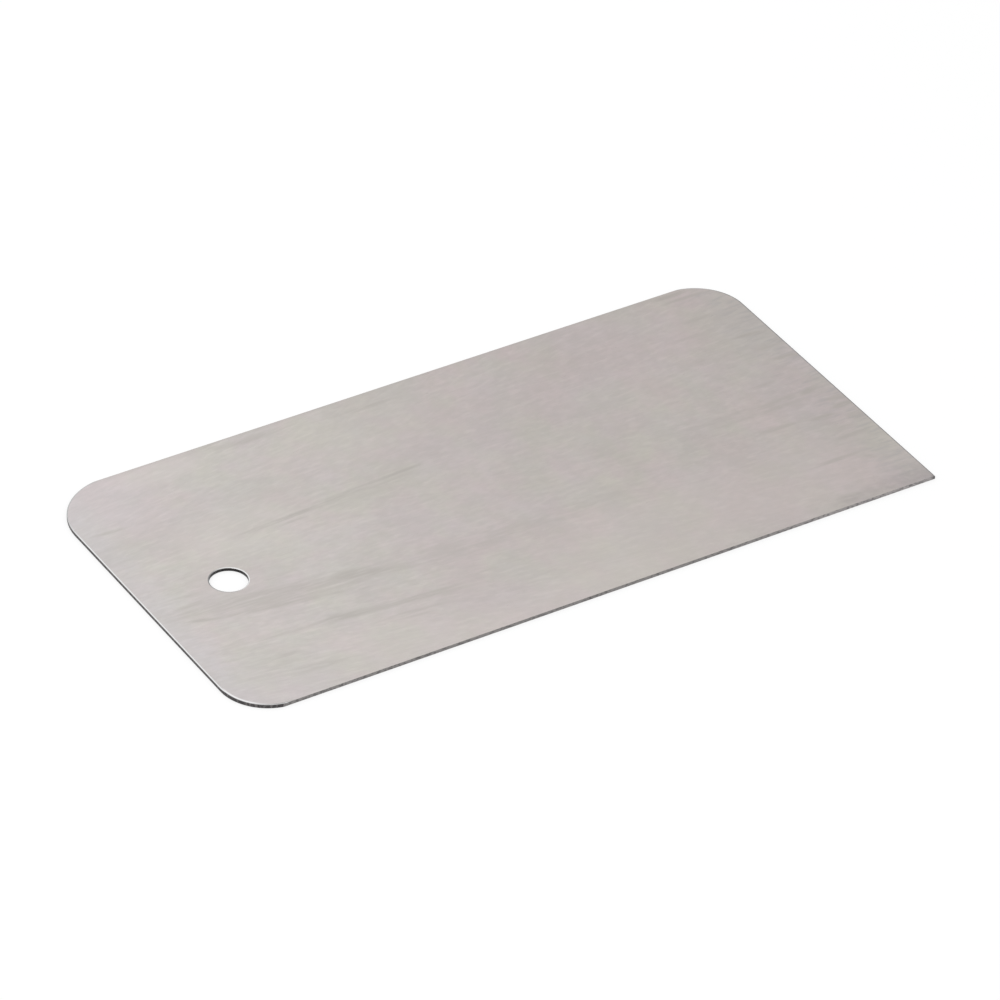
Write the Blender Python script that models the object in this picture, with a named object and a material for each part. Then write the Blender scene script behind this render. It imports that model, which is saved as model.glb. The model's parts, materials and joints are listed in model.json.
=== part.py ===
"""A steel ski scraper: one flat plate of hardened sheet steel, with a hole to hang it by.

The plate lies on the XY plane, underside at Z = 0, with its length along X and its width along Y.
The hanging hole is at the -X end. The corner at +X and -Y is square, and the other three are round.
Sizes are in metres.
"""
import math

import bmesh
import bpy
from mathutils import Vector

# The finished plate
LENGTH = 0.125
WIDTH = 0.064
THICKNESS = 0.0006

# Its three round corners
HOLE_END_BACK_RADIUS = 0.0108
HOLE_END_FRONT_RADIUS = 0.0082
FAR_END_BACK_RADIUS = 0.0087

# The hanging hole, set in from the -X end and a little off the centre line towards the front
HOLE_DIAMETER = 0.0061
HOLE_INSET = 0.0147
HOLE_OFF_CENTRE = 0.0008

# The blank's edges are rolled over all round, wider than deep, and its long sides are then ground back square
EDGE_ROLL_WIDTH = 0.0002
EDGE_ROLL_DEPTH = 0.00009
GRINDING_ALLOWANCE = 0.00021

# Fineness of the round shapes
CORNER_STEPS = 20
HOLE_STEPS = 48
EDGE_ROLL_STEPS = 2

# Points this close are merged, and points this close to a ground side are drawn onto it
WELD_DISTANCE = 0.000003
SMOOTH_ANGLE = math.radians(30)

STEEL_COLOUR = (0.527, 0.485, 0.455, 1.0)
STEEL_ROUGHNESS = 0.4


def clear_scene():
    for scene_object in list(bpy.data.objects):
        bpy.data.objects.remove(scene_object, do_unlink=True)


def steel_material():
    material = bpy.data.materials.new("brushed_steel")
    material.use_nodes = True
    shader = material.node_tree.nodes["Principled BSDF"]
    shader.inputs["Base Color"].default_value = STEEL_COLOUR
    shader.inputs["Roughness"].default_value = STEEL_ROUGHNESS
    shader.inputs["Metallic"].default_value = 1.0
    return material


def arc(centre, radius, start, sweep, steps):
    """Points along an arc, both ends included, with angles in radians from +X."""
    points = []
    for step in range(steps + 1):
        angle = start + sweep * step / steps
        points.append((centre[0] + radius * math.cos(angle), centre[1] + radius * math.sin(angle)))
    return points


def blank_outline():
    """The blank's outline, anticlockwise from its square corner."""
    end = LENGTH / 2
    side = WIDTH / 2 + GRINDING_ALLOWANCE
    quarter = math.pi / 2
    far_back = (end - FAR_END_BACK_RADIUS, side - FAR_END_BACK_RADIUS)
    hole_back = (-end + HOLE_END_BACK_RADIUS, side - HOLE_END_BACK_RADIUS)
    hole_front = (-end + HOLE_END_FRONT_RADIUS, -side + HOLE_END_FRONT_RADIUS)
    points = [(end, -side)]
    points += arc(far_back, FAR_END_BACK_RADIUS, 0, quarter, CORNER_STEPS)
    points += arc(hole_back, HOLE_END_BACK_RADIUS, quarter, quarter, CORNER_STEPS)
    points += arc(hole_front, HOLE_END_FRONT_RADIUS, 2 * quarter, quarter, CORNER_STEPS)
    return points


def hole_outline():
    """The hole's outline, clockwise, so that it is a hole in the blank."""
    centre = (-LENGTH / 2 + HOLE_INSET, -HOLE_OFF_CENTRE)
    full_turn = arc(centre, HOLE_DIAMETER / 2, 0, -2 * math.pi, HOLE_STEPS)
    return full_turn[:-1]


def punched_blank(collection):
    """The plate as it is punched and its edges rolled over, drawn thick with a round edge and then flattened."""
    flattening = min(EDGE_ROLL_DEPTH, THICKNESS / 3) / EDGE_ROLL_WIDTH
    drawing = bpy.data.curves.new("punched_blank", "CURVE")
    drawing.dimensions = "2D"
    drawing.fill_mode = "BOTH"
    drawing.extrude = THICKNESS / 2 / flattening - EDGE_ROLL_WIDTH
    drawing.bevel_depth = EDGE_ROLL_WIDTH
    drawing.bevel_resolution = EDGE_ROLL_STEPS
    drawing.offset = -EDGE_ROLL_WIDTH
    for outline in (blank_outline(), hole_outline()):
        spline = drawing.splines.new("POLY")
        spline.points.add(len(outline) - 1)
        spline.use_cyclic_u = True
        for point, (x, y) in zip(spline.points, outline):
            point.co = (x, y, 0, 1)
    blank = bpy.data.objects.new("punched_blank", drawing)
    blank.location.z = THICKNESS / 2
    blank.scale.z = flattening
    collection.objects.link(blank)
    return blank


def grind_side(mesh, direction):
    """Cuts a long side square at half the plate's width, towards +Y or -Y."""
    outwards = Vector((0, direction, 0))
    everything = mesh.verts[:] + mesh.edges[:] + mesh.faces[:]
    cut = bmesh.ops.bisect_plane(
        mesh, geom=everything, plane_co=outwards * WIDTH / 2, plane_no=outwards,
        dist=WELD_DISTANCE, use_snap_center=True, clear_outer=True)
    cut_edges = [item for item in cut["geom_cut"] if isinstance(item, bmesh.types.BMEdge)]
    bmesh.ops.edgeloop_fill(mesh, edges=cut_edges)


def scraper_plate(collection):
    """The finished plate, as a mesh with both long sides ground."""
    blank = punched_blank(collection)
    bpy.context.view_layer.update()
    evaluated = blank.evaluated_get(bpy.context.evaluated_depsgraph_get())
    plate_mesh = bpy.data.meshes.new_from_object(evaluated)
    plate_mesh.name = "scraper_plate"

    mesh = bmesh.new()
    mesh.from_mesh(plate_mesh)
    bmesh.ops.transform(mesh, matrix=blank.matrix_world, verts=mesh.verts)
    bmesh.ops.remove_doubles(mesh, verts=mesh.verts, dist=WELD_DISTANCE)
    grind_side(mesh, 1)
    grind_side(mesh, -1)
    bmesh.ops.recalc_face_normals(mesh, faces=mesh.faces)
    mesh.to_mesh(plate_mesh)
    mesh.free()

    plate_mesh.shade_smooth()
    plate_mesh.set_sharp_from_angle(angle=SMOOTH_ANGLE)
    plate_mesh.materials.clear()
    plate_mesh.materials.append(steel_material())
    plate = bpy.data.objects.new("scraper_plate", plate_mesh)
    collection.objects.link(plate)
    bpy.data.objects.remove(blank, do_unlink=True)
    return plate


clear_scene()
ski_scraper = bpy.data.collections.new("ski_scraper")
bpy.context.scene.collection.children.link(ski_scraper)
scraper_plate(ski_scraper)
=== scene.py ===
import json
import math

import bmesh
import bpy
from mathutils import Matrix, Vector


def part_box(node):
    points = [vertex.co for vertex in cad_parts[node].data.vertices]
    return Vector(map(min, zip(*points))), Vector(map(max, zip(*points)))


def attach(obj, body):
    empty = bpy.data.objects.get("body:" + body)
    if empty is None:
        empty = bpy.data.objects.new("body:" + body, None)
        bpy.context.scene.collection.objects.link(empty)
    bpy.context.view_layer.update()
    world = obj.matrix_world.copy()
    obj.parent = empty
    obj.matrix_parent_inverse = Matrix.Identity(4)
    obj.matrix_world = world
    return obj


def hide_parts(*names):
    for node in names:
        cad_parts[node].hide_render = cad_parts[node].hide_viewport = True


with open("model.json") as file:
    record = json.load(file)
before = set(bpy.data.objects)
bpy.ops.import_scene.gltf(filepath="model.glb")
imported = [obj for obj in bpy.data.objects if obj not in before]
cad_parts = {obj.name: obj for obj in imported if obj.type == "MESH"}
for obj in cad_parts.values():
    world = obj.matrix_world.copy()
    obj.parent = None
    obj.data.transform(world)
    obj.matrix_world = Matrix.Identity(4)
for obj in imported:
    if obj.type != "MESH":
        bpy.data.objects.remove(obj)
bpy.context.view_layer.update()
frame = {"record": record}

# Scraper plate
# One blank of hardened spring steel, punched from cold-rolled strip together with its hanging hole.
# Tumbling rounds its edges over, and the two long sides are then ground back square, sharp and clean.
plate_low, plate_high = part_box("scraper_plate")
plate_size = plate_high - plate_low
half_length = plate_size.x / 2
half_width = plate_size.y / 2
thickness = plate_size.z
grinding_allowance = 0.00021
blank_half_width = half_width + grinding_allowance
die_roll_width = 0.0002
die_roll_depth = 0.00009
die_roll_steps = 6
stretch = die_roll_width / die_roll_depth
burr_break = 0.00006
burr_break_steps = 3
hole_end_back_radius = 0.0108
hole_end_front_radius = 0.0082
far_end_back_radius = 0.0087
corner_steps = 40
hole_radius = 0.00305
hole_steps = 96
hole_patch = 0.005
hole_low, hole_high = (Vector(corner) for corner in frame["record"]["physics"]["openings"][0]["box_m"])
hole_middle = (hole_low + hole_high) / 2
near = 0.000005
cut_tolerance = 0.0000001
weld_distance = 0.0000005
upright_below = 0.5
smooth_angle = math.radians(40)


def select(mesh_object, kind, wanted):
    """Selects the edit mesh's verts, edges or faces that the test wants, and nothing else."""
    bpy.ops.mesh.select_all(action="DESELECT")
    bpy.ops.mesh.select_mode(type={"verts": "VERT", "edges": "EDGE", "faces": "FACE"}[kind])
    mesh = bmesh.from_edit_mesh(mesh_object.data)
    for item in getattr(mesh, kind):
        item.select = wanted(item)
    mesh.select_flush_mode()
    bmesh.update_edit_mesh(mesh_object.data)


def middle_of(item):
    return sum((vert.co for vert in item.verts), Vector()) / len(item.verts)


bpy.ops.object.select_all(action="DESELECT")
bpy.ops.mesh.primitive_plane_add(size=1)
plate = bpy.context.object
plate.name = "scraper"
bpy.ops.object.mode_set(mode="EDIT")
bpy.ops.transform.resize(value=(plate_size.x, 2 * blank_half_width, 1))

round_corners = (
    (Vector((half_length, blank_half_width, 0)), far_end_back_radius),
    (Vector((-half_length, blank_half_width, 0)), hole_end_back_radius),
    (Vector((-half_length, -blank_half_width, 0)), hole_end_front_radius),
)
for corner, radius in round_corners:
    select(plate, "verts", lambda vert: (vert.co - corner).length < near)
    bpy.ops.mesh.bevel(offset=radius, segments=corner_steps, affect="VERTICES", clamp_overlap=False)

# A square patch is cut out round the hole's place, and bridged to the hole's own circle.
for axis in range(2):
    for side in (-1, 1):
        direction = Vector((0, 0, 0))
        direction[axis] = 1
        cut_at = Vector((hole_middle.x, hole_middle.y, 0)) + side * hole_patch * direction
        bpy.ops.mesh.select_all(action="SELECT")
        bpy.ops.mesh.bisect(plane_co=cut_at, plane_no=direction, threshold=cut_tolerance)


def in_patch(item):
    offset = middle_of(item) - hole_middle
    return max(abs(offset.x), abs(offset.y)) < hole_patch + near


select(plate, "faces", in_patch)
bpy.ops.mesh.delete(type="ONLY_FACE")
select(plate, "edges", in_patch)
bpy.ops.mesh.subdivide(number_cuts=hole_steps // 4 - 1)
bpy.ops.mesh.select_all(action="DESELECT")
bpy.ops.mesh.primitive_circle_add(
    vertices=hole_steps, radius=hole_radius, location=(hole_middle.x, hole_middle.y, 0))
select(plate, "edges", in_patch)
bpy.ops.mesh.bridge_edge_loops()

bpy.ops.mesh.select_all(action="SELECT")
bpy.ops.mesh.extrude_region_move(TRANSFORM_OT_translate={"value": (0, 0, thickness * stretch)})
bpy.ops.mesh.select_all(action="SELECT")
bpy.ops.mesh.normals_make_consistent(inside=False)


def on_rim(edge, height):
    upright = [abs(face.normal.z) < upright_below for face in edge.link_faces]
    return any(upright) and not all(upright) and abs(middle_of(edge).z - height) < near


# The edge is rounded while the plate is stretched upwards, so the die roll comes out wider than deep.
rims = ((thickness * stretch, die_roll_width, die_roll_steps), (0, burr_break, burr_break_steps))
for rim_height, rounding, steps in rims:
    select(plate, "edges", lambda edge: on_rim(edge, rim_height))
    bpy.ops.mesh.bevel(
        offset=rounding, segments=steps, affect="EDGES", loop_slide=False, clamp_overlap=False)
bpy.ops.mesh.select_all(action="SELECT")
bpy.ops.transform.resize(value=(1, 1, 1 / stretch), center_override=(0, 0, 0))
for side in (-1, 1):
    outwards = Vector((0, side, 0))
    bpy.ops.mesh.select_all(action="SELECT")
    bpy.ops.mesh.bisect(
        plane_co=outwards * half_width, plane_no=outwards,
        use_fill=True, clear_outer=True, threshold=cut_tolerance)
bpy.ops.mesh.select_all(action="SELECT")
bpy.ops.mesh.remove_doubles(threshold=weld_distance)
bpy.ops.mesh.normals_make_consistent(inside=False)
bpy.ops.object.mode_set(mode="OBJECT")
bpy.ops.object.shade_smooth_by_angle(angle=smooth_angle)
bpy.ops.object.modifier_add(type="WEIGHTED_NORMAL")
plate.modifiers[-1].keep_sharp = True
bpy.ops.object.modifier_apply(modifier=plate.modifiers[-1].name)


def add_node(tree, kind, inputs, **settings):
    """Adds a node to a tree. Each input takes a plain value, or the output of another node."""
    node = tree.nodes.new(kind)
    for name, value in settings.items():
        setattr(node, name, value)
    for name, value in inputs.items():
        if isinstance(value, bpy.types.NodeSocket):
            tree.links.new(value, node.inputs[name])
        else:
            node.inputs[name].default_value = value
    return node


def reckon(tree, operation, *values):
    """Adds a math node and gives its result."""
    return add_node(tree, "ShaderNodeMath", dict(enumerate(values)), operation=operation).outputs[0]


def times(tree, first, *others):
    """Multiplies values and masks together."""
    product = first
    for other in others:
        product = reckon(tree, "MULTIPLY", product, other)
    return product


def lessened(tree, mask, loss):
    """1 where the mask is 0, and less by the loss where it is 1."""
    return reckon(tree, "MULTIPLY_ADD", mask, -loss, 1)


def ramp(tree, value, start, end):
    """Rises smoothly from 0, where the value is at the start, to 1 at the end. The end may be the lower."""
    steps = {"Value": value, "From Min": start, "From Max": end}
    return add_node(tree, "ShaderNodeMapRange", steps, interpolation_type="SMOOTHSTEP").outputs["Result"]


def blend(tree, share, first, second):
    """Mixes two colours. A share of 0 is the first, and 1 is the second."""
    return add_node(tree, "ShaderNodeMix", {0: share, 6: first, 7: second}, data_type="RGBA").outputs[2]


def new_group(name, inputs, outputs):
    """Starts a node group, and gives it with its inputs' node and its outputs' node."""
    group = bpy.data.node_groups.new(name, "ShaderNodeTree")
    for socket, kind in inputs.items():
        group.interface.new_socket(socket, in_out="INPUT", socket_type=kind)
    for socket, kind in outputs.items():
        group.interface.new_socket(socket, in_out="OUTPUT", socket_type=kind)
    return group, group.nodes.new("NodeGroupInput"), group.nodes.new("NodeGroupOutput")


# Lines that drawing, grinding or shearing leaves in steel: grain that is long in X and narrow in Y and Z
line_detail = 2
line_breakup = 0.55
line_contrast = (0.25, 0.75)
drawn_lines, given, result = new_group(
    "drawn_lines",
    {"Vector": "NodeSocketVector", "Length": "NodeSocketFloat", "Width": "NodeSocketFloat"},
    {"Lines": "NodeSocketFloat"})
axes = add_node(drawn_lines, "ShaderNodeSeparateXYZ", {0: given.outputs["Vector"]}).outputs
squeezed = add_node(drawn_lines, "ShaderNodeCombineXYZ", {
    "X": reckon(drawn_lines, "DIVIDE", axes["X"], given.outputs["Length"]),
    "Y": reckon(drawn_lines, "DIVIDE", axes["Y"], given.outputs["Width"]),
    "Z": reckon(drawn_lines, "DIVIDE", axes["Z"], given.outputs["Width"])})
grain = add_node(drawn_lines, "ShaderNodeTexNoise", {
    "Vector": squeezed.outputs[0], "Scale": 1, "Detail": line_detail, "Roughness": line_breakup})
drawn_lines.links.new(ramp(drawn_lines, grain.outputs[0], *line_contrast), result.inputs["Lines"])


def lines(tree, vector, size):
    """Lines of a length and a width in a material."""
    inputs = {"Vector": vector, "Length": size[0], "Width": size[1]}
    return add_node(tree, "ShaderNodeGroup", inputs, node_tree=drawn_lines).outputs["Lines"]


# A single mark of a given place, turn and half size, fading from its middle outwards
mark_fade = (0, 0.7)
placed_mark, given, result = new_group(
    "placed_mark",
    {"Vector": "NodeSocketVector", "Middle": "NodeSocketVector", "Turn": "NodeSocketVector",
     "Half Size": "NodeSocketVector"},
    {"Mark": "NodeSocketFloat"})
local = add_node(placed_mark, "ShaderNodeMapping", {
    "Vector": given.outputs["Vector"], "Location": given.outputs["Middle"],
    "Rotation": given.outputs["Turn"], "Scale": given.outputs["Half Size"]}, vector_type="TEXTURE")
spot = add_node(
    placed_mark, "ShaderNodeTexGradient", {"Vector": local.outputs[0]}, gradient_type="SPHERICAL")
placed_mark.links.new(ramp(placed_mark, spot.outputs["Fac"], *mark_fade), result.inputs["Mark"])


def marked(tree, place, marks):
    """The sum of all the marks in a list, on the upper face."""
    total = 0
    for middle, length, width, turn, strength in marks:
        mark = add_node(tree, "ShaderNodeGroup", {
            "Vector": place, "Middle": (*middle, thickness), "Turn": (0, 0, math.radians(turn)),
            "Half Size": (length / 2, width / 2, thickness / 2)}, node_tree=placed_mark).outputs["Mark"]
        total = reckon(tree, "MULTIPLY_ADD", mark, strength, total)
    return total


def new_steel(name):
    """Starts a bare steel finish, and gives it with its node tree and the place of a point on the plate."""
    finish = bpy.data.materials.new(name)
    finish.use_nodes = True
    tree = finish.node_tree
    tree.nodes["Principled BSDF"].inputs["Metallic"].default_value = 1
    return finish, tree, add_node(tree, "ShaderNodeTexCoord", {}).outputs["Object"]


def finish_steel(tree, colour, roughness, height, depth):
    """Gives a steel finish its colour, its roughness and its fine relief."""
    relief = add_node(tree, "ShaderNodeBump", {"Height": height, "Distance": depth, "Strength": 1})
    sockets = tree.nodes["Principled BSDF"].inputs
    tree.links.new(colour, sockets["Base Color"])
    tree.links.new(roughness, sockets["Roughness"])
    tree.links.new(relief.outputs["Normal"], sockets["Normal"])


# The rolled faces: grain of several sizes runs along the plate and fans out towards the far end.
# The underside's grain lies apart from the upper face's, so that the two aren't alike.
# A size is a length and a width. Other pairs are where an effect starts, and where it is full.
fan = 0.7
faces_apart = 60
fine_size = (0.012, 0.00009)
fine_share = 0.12
fine_depth = 0.0000012
streak_size = (0.006, 0.0006)
streak_share = 0.15
dash_size = (0.0017, 0.0007)
dash_share = 0.30
band_size = (0.060, 0.009)
band_share = 0.10
fleck_size = (0.0030, 0.0006)
fleck_contrast = (0.55, 1)
fleck_share = 0.15
end_dash_size = (0.0040, 0.0005)
end_dash_contrast = (0.45, 1)
end_dash_share = 0.45
end_haze = 0.10
end_marks_reach = 0.012
mottle_size = 0.010
mottle_detail = 3
mottle_breakup = 0.65
mottle_contrast = (0.35, 0.65)
dull_share = 0.25
blue_share = 0.4
hole_end_blue = (0.007, 0.001)
hole_end_blue_share = 0.5
back_edge_band = (0.0007, 0.0001)
back_edge_band_share = 0.25
wipe_breaks = (-0.3, 0.8)
heaviest_wipe = 0.8
grime_breaks = (-0.3, 0.7)
heaviest_grime = 0.9
face_roughness = 0.27
streak_roughness = 0.05
fine_roughness = 0.04
wipe_roughness = 0.06
olive_steel = (0.499, 0.473, 0.426, 1)
lilac_steel = (0.524, 0.451, 0.448, 1)
blue_steel = (0.496, 0.461, 0.467, 1)
streak_steel = (0.385, 0.355, 0.336, 1)
mark_steel = (0.400, 0.370, 0.346, 1)
end_steel = (0.362, 0.346, 0.346, 1)
tip_steel = (0.285, 0.260, 0.264, 1)
pale_steel = (0.600, 0.546, 0.516, 1)
rubbed_steel = (0.535, 0.490, 0.520, 1)
# Painted highlight on the front corner's rim
painted_highlight_steel = (0.740, 0.720, 0.720, 1)
# Torn lines of the sheared wall, and painted shade on the front corner's rim
torn_steel_and_painted_shade = (0.160, 0.150, 0.148, 1)

# Marks that wiping and stacking leave on the upper face: middle, length, width, turn in degrees, strength
wipe_marks = (
    # Two long scuffs beside the hole, and the shadow of a third
    ((-0.0300, 0.0089), 0.032, 0.0013, 3.0, 1.00),
    ((-0.0165, 0.0103), 0.030, 0.0010, 2.5, 0.60),
    ((-0.0095, 0.0107), 0.009, 0.0011, 4.0, 0.45),
    ((-0.0320, 0.0075), 0.011, 0.0008, 2.0, 0.50),
    ((-0.0170, 0.0086), 0.024, 0.0038, 4.0, 0.28),
    # A broad smear from the hole's end towards the front
    ((-0.0555, -0.0013), 0.008, 0.0011, -3.0, 0.40),
    ((-0.0555, -0.0036), 0.009, 0.0013, 0.0, 0.45),
    ((-0.0430, -0.0080), 0.050, 0.0070, -10.0, 0.60),
    ((-0.0440, -0.0104), 0.040, 0.0013, -10.5, 0.50),
    ((-0.0565, -0.0078), 0.009, 0.0011, -19.0, 0.55),
    ((-0.0292, -0.0092), 0.012, 0.0038, -16.0, 0.60),
    ((-0.0120, -0.0112), 0.042, 0.0070, -3.0, 0.45),
    ((0.0080, -0.0110), 0.030, 0.0060, 0.0, 0.25),
    # Streaks in front of the smear
    ((-0.0450, -0.0170), 0.018, 0.0010, -3.0, 0.45),
    ((-0.0370, -0.0176), 0.011, 0.0026, -6.0, 0.85),
    ((-0.0255, -0.0191), 0.026, 0.0026, -6.0, 0.65),
    ((-0.0145, -0.0183), 0.010, 0.0009, 0.0, 0.30),
    ((-0.0285, -0.0217), 0.018, 0.0014, -5.0, 0.45),
    ((-0.0275, -0.0229), 0.009, 0.0008, -6.0, 0.35),
    ((-0.0493, -0.0217), 0.005, 0.0013, 0.0, 0.50),
    ((-0.0470, -0.0266), 0.013, 0.0028, -8.0, 0.38),
    # Rubs along the back edge and the hole's end
    ((-0.0265, 0.0300), 0.015, 0.0022, 0.0, 0.65),
    ((-0.0060, 0.0284), 0.016, 0.0013, 0.0, 0.50),
    ((-0.0575, 0.0190), 0.009, 0.0011, -4.0, 0.60),
    ((0.0540, 0.0309), 0.013, 0.0018, -3.0, 0.80),
    ((0.0550, 0.0294), 0.012, 0.0011, 0.0, 0.60),
    # Short rubs at the far end, most of them near its edge
    ((0.0540, 0.0233), 0.009, 0.0015, 0.0, 0.55),
    ((0.0495, 0.0194), 0.008, 0.0014, 0.0, 0.40),
    ((0.0585, 0.0153), 0.009, 0.0015, -6.0, 0.80),
    ((0.0472, 0.0130), 0.004, 0.0015, 0.0, 0.55),
    ((0.0600, 0.0112), 0.008, 0.0028, 0.0, 0.50),
    ((0.0602, 0.0072), 0.007, 0.0018, -8.0, 0.75),
    ((0.0525, 0.0023), 0.007, 0.0014, 0.0, 0.35),
    ((0.0450, -0.0030), 0.028, 0.0050, 0.0, 0.35),
    ((0.0530, -0.0035), 0.011, 0.0050, 0.0, 0.45),
    ((0.0582, -0.0026), 0.005, 0.0020, 12.0, 0.80),
    ((0.0612, -0.0064), 0.006, 0.0020, -10.0, 0.65),
    ((0.0610, -0.0085), 0.007, 0.0018, 0.0, 1.00),
    ((0.0487, -0.0090), 0.012, 0.0017, -4.0, 0.65),
    ((0.0560, -0.0099), 0.007, 0.0018, -4.0, 0.75),
    ((0.0612, -0.0118), 0.005, 0.0036, 0.0, 0.50),
    ((0.0577, -0.0139), 0.004, 0.0015, -6.0, 0.65),
    ((0.0580, -0.0161), 0.010, 0.0017, 3.0, 0.55),
    ((0.0520, -0.0207), 0.014, 0.0015, 0.0, 0.55),
    ((0.0565, -0.0223), 0.003, 0.0015, -35.0, 0.45),
    ((0.0478, -0.0302), 0.008, 0.0034, 0.0, 0.55),
)
# Grime at the square corner
tip_marks = (
    ((0.0520, -0.0306), 0.030, 0.0046, 4.0, 0.16),
    ((0.0600, -0.0300), 0.018, 0.0090, 12.0, 0.16),
    ((0.0618, -0.0318), 0.011, 0.0032, 6.0, 0.24),
    ((0.0626, -0.0320), 0.0025, 0.0016, 20.0, 0.90),
)
# Where the steel leans to lilac, or with a minus sign to olive
tints = (
    ((0.0340, 0.0210), 0.066, 0.024, 0.0, 0.50),
    ((0.0430, -0.0260), 0.044, 0.014, 0.0, 0.55),
    ((-0.0130, -0.0120), 0.024, 0.009, -5.0, 0.40),
    ((-0.0520, 0.0210), 0.018, 0.018, 0.0, 0.35),
    ((0.0080, 0.0160), 0.024, 0.014, 0.0, 0.25),
    ((-0.0240, 0.0190), 0.048, 0.028, 0.0, -0.22),
    ((-0.0330, 0.0050), 0.030, 0.014, 0.0, -0.30),
    ((0.0340, -0.0010), 0.040, 0.030, 0.0, -0.35),
    ((-0.0480, 0.0080), 0.030, 0.036, 0.0, -0.28),
    ((-0.0480, -0.0140), 0.026, 0.016, 0.0, -0.28),
    ((0.0310, 0.0130), 0.030, 0.012, 0.0, -0.35),
    ((0.0480, -0.0140), 0.030, 0.014, 0.0, -0.25),
)
# Corners at the hole's end that are rubbed pale, and open places that are cleaner than the rest
corner_rubs = (
    ((-0.0590, 0.0260), 0.030, 0.026, 0.0, 0.18),
    ((-0.0570, -0.0290), 0.026, 0.014, 0.0, 0.12),
)
clean_places = (
    ((0.0250, -0.0230), 0.090, 0.028, 0.0, 0.20),
    ((-0.0400, 0.0090), 0.030, 0.020, 0.0, 0.16),
    ((-0.0340, -0.0260), 0.040, 0.018, 0.0, 0.13),
    ((-0.0050, -0.0310), 0.080, 0.014, 0.0, 0.18),
    ((-0.0430, 0.0290), 0.022, 0.008, 0.0, 0.25),
    ((-0.0100, 0.0240), 0.050, 0.022, 0.0, 0.10),
)

rolled_face, tree, place = new_steel("rolled_face")
along = add_node(tree, "ShaderNodeSeparateXYZ", {0: place}).outputs
spread = reckon(tree, "MULTIPLY_ADD", along["X"], fan / plate_size.x, 1 + fan / 2)
fanned = add_node(tree, "ShaderNodeCombineXYZ", {
    "X": along["X"],
    "Y": reckon(tree, "DIVIDE", along["Y"], spread),
    "Z": times(tree, along["Z"], faces_apart)}).outputs[0]
fine = lines(tree, fanned, fine_size)
streaks = lines(tree, fanned, streak_size)
dashes = lines(tree, fanned, dash_size)
bands = lines(tree, fanned, band_size)
# Pale flecks in the grain: painted glints where the scratches catch the light
glint_flecks = ramp(tree, lines(tree, fanned, fleck_size), *fleck_contrast)
end_dashes = ramp(tree, lines(tree, fanned, end_dash_size), *end_dash_contrast)
mottle = add_node(tree, "ShaderNodeTexNoise", {
    "Vector": fanned, "Scale": 1 / mottle_size,
    "Detail": mottle_detail, "Roughness": mottle_breakup}).outputs["Color"]
patches = add_node(tree, "ShaderNodeSeparateColor", {0: mottle}).outputs
lilac, blue, dull = (ramp(tree, patches[part], *mottle_contrast) for part in ("Red", "Green", "Blue"))

colour = blend(tree, reckon(tree, "ADD", lilac, marked(tree, place, tints)), olive_steel, lilac_steel)
at_hole_end = ramp(tree, reckon(tree, "ADD", along["X"], half_length), *hole_end_blue)
blue = reckon(tree, "MULTIPLY_ADD", at_hole_end, hole_end_blue_share, times(tree, blue, blue_share))
colour = blend(tree, blue, colour, blue_steel)
dark_grain = (
    (dull, dull_share), (streaks, streak_share), (dashes, dash_share), (bands, band_share),
    (fine, fine_share))
for pattern, share in dark_grain:
    colour = blend(tree, times(tree, pattern, share), colour, streak_steel)
colour = blend(tree, times(tree, glint_flecks, fleck_share), colour, pale_steel)
near_far_end = ramp(tree, reckon(tree, "SUBTRACT", half_length, along["X"]), end_marks_reach, 0)
end_marks = reckon(tree, "MULTIPLY_ADD", end_dashes, end_dash_share, end_haze)
colour = blend(tree, times(tree, near_far_end, end_marks), colour, end_steel)
colour = blend(tree, marked(tree, place, clean_places), colour, pale_steel)
colour = blend(tree, marked(tree, place, corner_rubs), colour, rubbed_steel)

# The front corner at the hole's end has a painted highlight along its rim on the left, and painted shade
# where the rim turns to the front.
arc_middle = Vector((
    hole_end_front_radius - half_length, hole_end_front_radius - blank_half_width, thickness))
arc_x = (0.001, -0.002)
arc_y = (0.0005, -0.0015)
front_turn = (-0.0050, -0.0080)
painted_highlight_band = (0.0006, 0.0002)
painted_shade_band = (0.00045, 0.0002)
painted_shade_share = 0.75


def front_corner(tree, place):
    """1 along the front corner's arc, and 0 along the straight sides."""
    sides = add_node(tree, "ShaderNodeSeparateXYZ", {0: place}).outputs
    past_end = ramp(tree, reckon(tree, "SUBTRACT", sides["X"], arc_middle.x), *arc_x)
    past_side = ramp(tree, reckon(tree, "SUBTRACT", sides["Y"], arc_middle.y), *arc_y)
    return times(tree, past_end, past_side)


from_middle = add_node(
    tree, "ShaderNodeVectorMath", {0: place, 1: arc_middle}, operation="DISTANCE").outputs["Value"]
inside_rim = reckon(tree, "SUBTRACT", hole_end_front_radius, from_middle)
painted_corner_mask = front_corner(tree, place)
turning = ramp(tree, reckon(tree, "SUBTRACT", along["Y"], arc_middle.y), *front_turn)
# Painted highlight along the corner's rim, and painted shade where it turns to the front
painted_highlight = times(tree, ramp(tree, inside_rim, *painted_highlight_band), painted_corner_mask, lessened(tree, turning, 1))
colour = blend(tree, painted_highlight, colour, painted_highlight_steel)
painted_shade = times(tree, ramp(tree, inside_rim, *painted_shade_band), painted_corner_mask, turning, painted_shade_share)
colour = blend(tree, painted_shade, colour, torn_steel_and_painted_shade)

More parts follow.
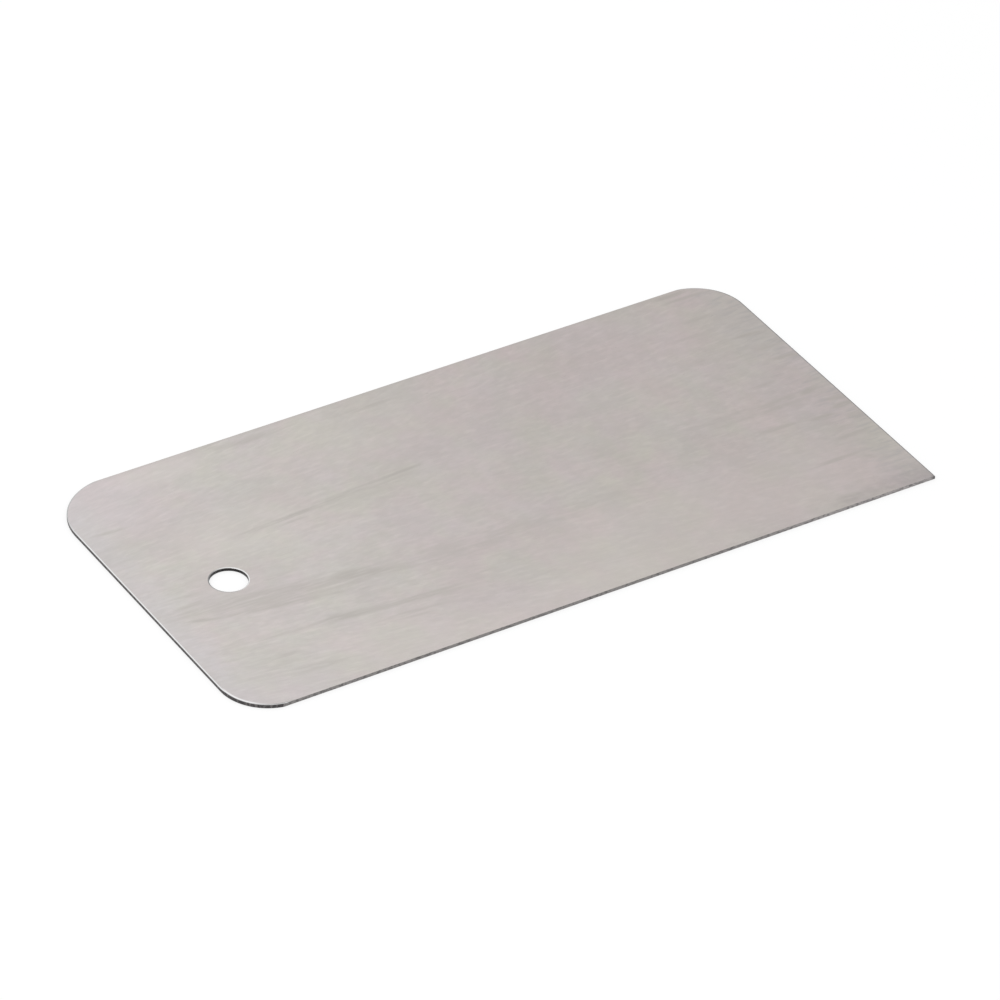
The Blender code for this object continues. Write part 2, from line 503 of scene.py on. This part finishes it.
# Darker in a thin line along the back edge
by_back_edge = ramp(tree, reckon(tree, "SUBTRACT", half_width, along["Y"]), *back_edge_band)
colour = blend(tree, times(tree, by_back_edge, back_edge_band_share), colour, mark_steel)
wipes = times(tree, marked(tree, place, wipe_marks), ramp(tree, streaks, *wipe_breaks))
colour = blend(tree, reckon(tree, "MINIMUM", wipes, heaviest_wipe), colour, mark_steel)
grime = times(tree, marked(tree, place, tip_marks), ramp(tree, dashes, *grime_breaks))
colour = blend(tree, reckon(tree, "MINIMUM", grime, heaviest_grime), colour, tip_steel)
roughness = reckon(tree, "MULTIPLY_ADD", streaks, streak_roughness, face_roughness)
roughness = reckon(tree, "MULTIPLY_ADD", fine, fine_roughness, roughness)
roughness = reckon(tree, "MULTIPLY_ADD", wipes, wipe_roughness, roughness)
finish_steel(tree, colour, roughness, fine, fine_depth)

# The ground sides: the wheel scores them along their length, and use nicks them. The far end is paler. Their
# dark grey is partly the scored steel's own and partly painted shade.
ground_steel_and_painted_shade = (0.296, 0.281, 0.276, 1)
ground_pale = (0.420, 0.394, 0.392, 1)
ground_dark = (0.100, 0.096, 0.098, 1)
paler_along = (0.015, 0.060)
score_size = (0.004, 0.00004)
score_share = 0.35
score_depth = 0.000002
nick_size = (0.00045, 0.0003)
nick_contrast = (0.35, 0.95)
nick_share = 0.70
worn_tip = (0.0009, 0.0002)
worn_tip_share = 0.8
ground_roughness = 0.32
score_roughness = 0.15
ground_edge, tree, place = new_steel("ground_edge")
along = add_node(tree, "ShaderNodeSeparateXYZ", {0: place}).outputs
scores = lines(tree, place, score_size)
nicks = ramp(tree, lines(tree, place, nick_size), *nick_contrast)
tip = ramp(tree, reckon(tree, "SUBTRACT", half_length, along["X"]), *worn_tip)
colour = blend(tree, ramp(tree, along["X"], *paler_along), ground_steel_and_painted_shade, ground_pale)
for pattern, share in ((scores, score_share), (nicks, nick_share), (tip, worn_tip_share)):
    colour = blend(tree, times(tree, pattern, share), colour, ground_dark)
roughness = reckon(tree, "MULTIPLY_ADD", scores, score_roughness, ground_roughness)
finish_steel(tree, colour, roughness, scores, score_depth)

# The punched edge: a burnished lip where the die rolled it over, above a dark sheared wall with torn lines.
# The lip's brightness is partly painted highlight, and the wall's darkness partly painted shade. Painted
# shade lowers the lip at the front corner and dulls it at the back, at the far end and on one side of the
# bore.
burnished_steel_and_painted_highlight = (0.630, 0.617, 0.612, 1)
# The sheared wall's grey, darkened in part as painted shade
sheared_steel_and_painted_shade = (0.060, 0.056, 0.058, 1)
# Painted shade in the bore's recess
bore_shade = (0.012, 0.012, 0.012, 1)
shear_size = (0.0012, 0.0004)
shear_contrast = (0.5, 0.95)
fine_shear_size = (0.0006, 0.00006)
fine_shear_share = 0.3
fine_shear_depth = 0.000003
lip_depth = (0.00007, 0.000035)
lip_waver = 0.00002
# Painted shade on the lip: lowered at the front corner, duller at the back, at the far end and on the bore's
# left side
corner_lip_drop_for_shade = 0.00005
shaded_back = (0.019, 0.026)
shaded_back_loss = 0.38
shaded_far_end = (0.004, 0.0005)
shaded_far_end_loss = 0.85
bore_reach = 0.012
bore_fade = (0, 0.2)
bore_shade_share = 0.6
shaded_bore_side = (0.0008, -0.0016)
shaded_bore_loss = 0.60
sheared_roughness = 0.38
fine_shear_roughness = 0.15
lip_polish = 0.18
blanked_edge, tree, place = new_steel("blanked_edge")
along = add_node(tree, "ShaderNodeSeparateXYZ", {0: place}).outputs
upright = add_node(tree, "ShaderNodeMapping", {"Vector": place, "Rotation": (0, math.pi / 2, 0)}).outputs[0]
shear = ramp(tree, lines(tree, upright, shear_size), *shear_contrast)
fine_shear = lines(tree, upright, fine_shear_size)
at_bore = {"Vector": place, "Middle": hole_middle, "Half Size": [bore_reach] * 3}
bore = add_node(tree, "ShaderNodeGroup", at_bore, node_tree=placed_mark).outputs["Mark"]
bore = ramp(tree, bore, *bore_fade)
depth = reckon(tree, "SUBTRACT", thickness, along["Z"])
depth = reckon(tree, "MULTIPLY_ADD", fine_shear, -lip_waver, depth)
# Painted shade: the lip is lowered at the front corner
depth = reckon(tree, "MULTIPLY_ADD", front_corner(tree, place), corner_lip_drop_for_shade, depth)
at_back = ramp(tree, along["Y"], *shaded_back)
at_far_end = ramp(tree, reckon(tree, "SUBTRACT", half_length, along["X"]), *shaded_far_end)
from_bore = reckon(tree, "SUBTRACT", along["X"], hole_middle.x)
shaded_bore = times(tree, bore, ramp(tree, from_bore, *shaded_bore_side))
# The lip: burnish with a painted highlight, less where painted shade is
lip_burnish_and_highlight = times(
    tree, ramp(tree, depth, *lip_depth), lessened(tree, at_back, shaded_back_loss),
    lessened(tree, at_far_end, shaded_far_end_loss), lessened(tree, shaded_bore, shaded_bore_loss))
colour = blend(tree, shear, sheared_steel_and_painted_shade, torn_steel_and_painted_shade)
colour = blend(tree, times(tree, fine_shear, fine_shear_share), colour, torn_steel_and_painted_shade)
# Painted shade on the walls in and round the bore
colour = blend(tree, times(tree, bore, bore_shade_share), colour, bore_shade)
colour = blend(tree, lip_burnish_and_highlight, colour, burnished_steel_and_painted_highlight)
roughness = reckon(tree, "MULTIPLY_ADD", fine_shear, fine_shear_roughness, sheared_roughness)
roughness = reckon(tree, "MULTIPLY_ADD", lip_burnish_and_highlight, -lip_polish, roughness)
finish_steel(tree, colour, roughness, fine_shear, fine_shear_depth)

squarely = 0.999


def is_face(face):
    return abs(face.normal.z) > squarely


def is_ground(face):
    return abs(face.normal.y) > squarely and abs(abs(middle_of(face).y) - half_width) < near


for material in (blanked_edge, rolled_face, ground_edge):
    plate.data.materials.append(material)
bpy.ops.object.mode_set(mode="EDIT")
for slot, test in ((1, is_face), (2, is_ground)):
    select(plate, "faces", test)
    plate.active_material_index = slot
    bpy.ops.object.material_slot_assign()
bpy.ops.object.mode_set(mode="OBJECT")
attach(plate, "root")
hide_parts("scraper_plate")

# Floor
# A plain table top of white painted board, which the plate lies on. Where it is looked at, it glows a little
# as well, so that it comes out as white as the photograph's and still keeps the plate's shadow.
floor_size = 8
floor_drop = 0.00002
floor_paint = (0.95, 0.95, 0.95, 1)
floor_glow = 0.75
bpy.ops.object.select_all(action="DESELECT")
bpy.ops.mesh.primitive_plane_add(size=floor_size, location=(0, 0, -floor_drop))
floor = bpy.context.object
floor.name = "floor"


def seen_directly(tree):
    """1 for what is looked at, straight, in a mirror or through glass, and 0 for the light it throws."""
    ray = add_node(tree, "ShaderNodeLightPath", {}).outputs
    mirrored = reckon(tree, "MAXIMUM", ray["Is Glossy Ray"], ray["Is Transmission Ray"])
    return reckon(tree, "MAXIMUM", ray["Is Camera Ray"], mirrored)


white_floor = bpy.data.materials.new("white_floor")
white_floor.use_nodes = True
tree = white_floor.node_tree
tree.nodes.clear()
paint = add_node(tree, "ShaderNodeBsdfDiffuse", {"Color": floor_paint})
glow = add_node(tree, "ShaderNodeEmission", {})
share = times(tree, seen_directly(tree), floor_glow)
finish = add_node(tree, "ShaderNodeMixShader", {0: share, 1: paint.outputs[0], 2: glow.outputs[0]})
add_node(tree, "ShaderNodeOutputMaterial", {"Surface": finish.outputs[0]})
floor.data.materials.append(white_floor)

# Light
# A tent of white cloth all round, with two square soft boxes: a small cool one behind the plate, which the
# steel mirrors, and a broad white one high on the left.
tent_light = 0.88
world = bpy.data.worlds.new("white_tent")
bpy.context.scene.world = world
world.use_nodes = True
tree = world.node_tree
background = tree.nodes["Background"]
background.inputs["Color"].default_value = (1, 1, 1, 1)
strength = reckon(tree, "MULTIPLY_ADD", seen_directly(tree), 1 - tent_light, tent_light)
tree.links.new(strength, background.inputs["Strength"])

# Name, place, what it faces, turn in degrees, side, tint and brightness
soft_boxes = (
    ("back_box", (-0.021, 0.229, 0.297), (-0.242, -0.117, 0), 50, 0.34, (0.87, 0.97, 1.0), 0.41),
    ("left_box", (-0.62, -0.12, 0.78), (0, 0, 0), 0, 0.60, (1, 1, 1), 2.00),
)
for name, location, aim, turn, side, tint, brightness in soft_boxes:
    bpy.ops.object.light_add(type="AREA")
    lamp = bpy.context.object
    lamp.name = name
    lamp.data.shape = "SQUARE"
    lamp.data.size = side
    lamp.data.color = tint
    lamp.data.energy = brightness * math.pi * side ** 2
    facing = (Vector(location) - Vector(aim)).to_track_quat("Z", "Y").to_matrix().to_4x4()
    lamp.matrix_world = Matrix.Translation(location) @ facing @ Matrix.Rotation(math.radians(turn), 4, "Z")

# Camera
# A long lens that looks down on the plate from in front, with the hole's end on the left.
# It is rolled a little, as the photograph's camera was.
camera_target = Vector((-0.00016, -0.00294, 0))
camera_azimuth = math.radians(-32.57)
camera_elevation = math.radians(35.90)
camera_roll = math.radians(1.73)
camera_distance = 1.063
camera_lens = 244.4
camera_sensor = 36
bpy.ops.object.camera_add()
camera = bpy.context.object
camera.data.lens = camera_lens
camera.data.sensor_width = camera_sensor
camera.matrix_world = (
    Matrix.Translation(camera_target)
    @ Matrix.Rotation(camera_azimuth, 4, "Z")
    @ Matrix.Rotation(math.pi / 2 - camera_elevation, 4, "X")
    @ Matrix.Rotation(camera_roll, 4, "Z")
    @ Matrix.Translation((0, 0, camera_distance))
)
bpy.context.scene.camera = camera
bpy.context.scene.view_settings.view_transform = "Standard"
